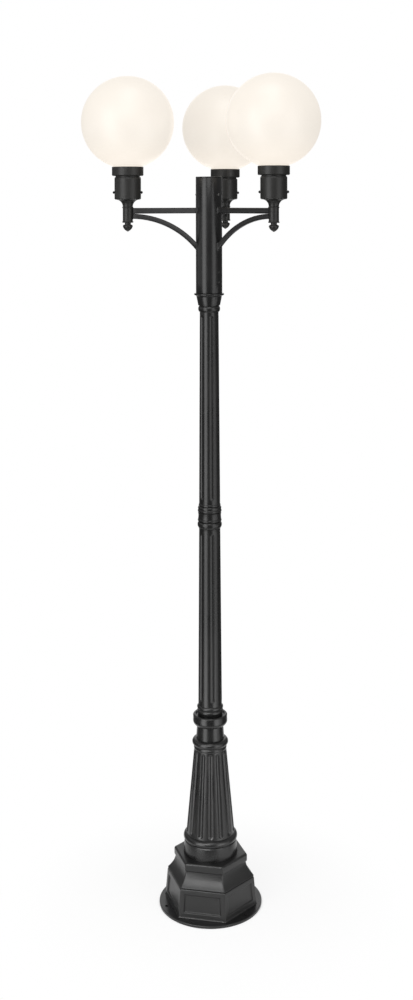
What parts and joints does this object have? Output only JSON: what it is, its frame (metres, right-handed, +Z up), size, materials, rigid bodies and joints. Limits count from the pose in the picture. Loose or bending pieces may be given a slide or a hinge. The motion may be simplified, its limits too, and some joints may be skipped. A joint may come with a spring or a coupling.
{
  "type": "outdoor post light",
  "caption": "Black outdoor post light with opal globes on braced arms over a fluted tapered post, on a hexagonal pedestal and a round base plate.",
  "frame": {"origin": "centre of the anchor bolt circle on the underside of the base plate, at floor level", "axes": "+Z up along the post, +Y towards the rear arm, +X to the right seen from the front"},
  "size_m": [0.7898, 0.7248, 2.7535],
  "materials": {
    "black_casting": "satin",
    "black_screws": "satin",
    "plain_steel": "satin",
    "brass": "satin",
    "opal_globe": "satin",
    "gasket_rubber": "matte",
    "holder_porcelain": "gloss",
    "bulb_white": "satin",
    "lead_sheath": "matte",
    "connector_plastic": "satin"
  },
  "bodies": {
    "post": {"base_plate": "black_casting", "plate_screws": "plain_steel", "hex_pedestal": "black_casting", "pedestal_cap": "black_casting", "section_bolts": "plain_steel", "fluted_cone": "black_casting", "shaft_cup": "black_casting", "lower_shaft": "black_casting", "shaft_coupling": "black_casting", "upper_shaft": "black_casting", "head_socket": "black_casting"},
    "head": {"head_column": "black_casting", "column_cap": "black_casting", "cap_screws": "black_screws", "column_set_screws": "black_screws", "nipples": "brass", "locknuts": "plain_steel", "finials": "black_casting", "screw_shells": "brass", "lamp_leads": "lead_sheath", "wire_connectors": "connector_plastic", "arm_1": "black_casting", "brace_1": "black_casting", "hub_1": "black_casting", "bell_1": "black_casting", "fitter_cup_1": "black_casting", "lampholder_1": "holder_porcelain", "arm_2": "black_casting", "brace_2": "black_casting", "hub_2": "black_casting", "bell_2": "black_casting", "fitter_cup_2": "black_casting", "lampholder_2": "holder_porcelain", "arm_3": "black_casting", "brace_3": "black_casting", "hub_3": "black_casting", "bell_3": "black_casting", "fitter_cup_3": "black_casting", "lampholder_3": "holder_porcelain"},
    "shade_1": {"collar_1": "black_casting", "neck_tube_1": "black_casting", "gasket_1": "gasket_rubber", "globe_1": "opal_globe"},
    "bulb_1": {"bulb_1": "bulb_white"},
    "thumbscrew_1a": {"thumbscrew_1a": "black_screws"},
    "thumbscrew_1b": {"thumbscrew_1b": "black_screws"},
    "shade_2": {"collar_2": "black_casting", "neck_tube_2": "black_casting", "gasket_2": "gasket_rubber", "globe_2": "opal_globe"},
    "bulb_2": {"bulb_2": "bulb_white"},
    "thumbscrew_2a": {"thumbscrew_2a": "black_screws"},
    "thumbscrew_2b": {"thumbscrew_2b": "black_screws"},
    "shade_3": {"collar_3": "black_casting", "neck_tube_3": "black_casting", "gasket_3": "gasket_rubber", "globe_3": "opal_globe"},
    "bulb_3": {"bulb_3": "bulb_white"},
    "thumbscrew_3a": {"thumbscrew_3a": "black_screws"},
    "thumbscrew_3b": {"thumbscrew_3b": "black_screws"}
  },
  "joints": [
    {"name": "head_swivel", "type": "hinge", "parent": "post", "child": "head", "pos_m": [0, 0, 2.034], "axis": [0, 0, 1], "range_deg": [-180, 180]},
    {"name": "globe_lift_1", "type": "slide", "parent": "head", "child": "shade_1", "axis": [0, 0, 1], "range_m": [0, 0.18]},
    {"name": "bulb_turn_1", "type": "hinge", "parent": "head", "child": "bulb_1", "pos_m": [0, 0.28, 2.3725], "axis": [0, 0, 1], "range_deg": [0, 900]},
    {"name": "thumbscrew_out_1a", "type": "slide", "parent": "head", "child": "thumbscrew_1a", "axis": [0.9781, 0.2079, 0], "range_m": [0, 0.002]},
    {"name": "thumbscrew_out_1b", "type": "slide", "parent": "head", "child": "thumbscrew_1b", "axis": [-0.9781, -0.2079, 0], "range_m": [0, 0.002]},
    {"name": "globe_lift_2", "type": "slide", "parent": "head", "child": "shade_2", "axis": [0, 0, 1], "range_m": [0, 0.18]},
    {"name": "bulb_turn_2", "type": "hinge", "parent": "head", "child": "bulb_2", "pos_m": [-0.24249, -0.14, 2.3725], "axis": [0, 0, 1], "range_deg": [0, 900]},
    {"name": "thumbscrew_out_2a", "type": "slide", "parent": "head", "child": "thumbscrew_2a", "axis": [0.9781, 0.2079, 0], "range_m": [0, 0.002]},
    {"name": "thumbscrew_out_2b", "type": "slide", "parent": "head", "child": "thumbscrew_2b", "axis": [-0.9781, -0.2079, 0], "range_m": [0, 0.002]},
    {"name": "globe_lift_3", "type": "slide", "parent": "head", "child": "shade_3", "axis": [0, 0, 1], "range_m": [0, 0.18]},
    {"name": "bulb_turn_3", "type": "hinge", "parent": "head", "child": "bulb_3", "pos_m": [0.24249, -0.14, 2.3725], "axis": [0, 0, 1], "range_deg": [0, 900]},
    {"name": "thumbscrew_out_3a", "type": "slide", "parent": "head", "child": "thumbscrew_3a", "axis": [0.9781, 0.2079, 0], "range_m": [0, 0.002]},
    {"name": "thumbscrew_out_3b", "type": "slide", "parent": "head", "child": "thumbscrew_3b", "axis": [-0.9781, -0.2079, 0], "range_m": [0, 0.002]}
  ]
}
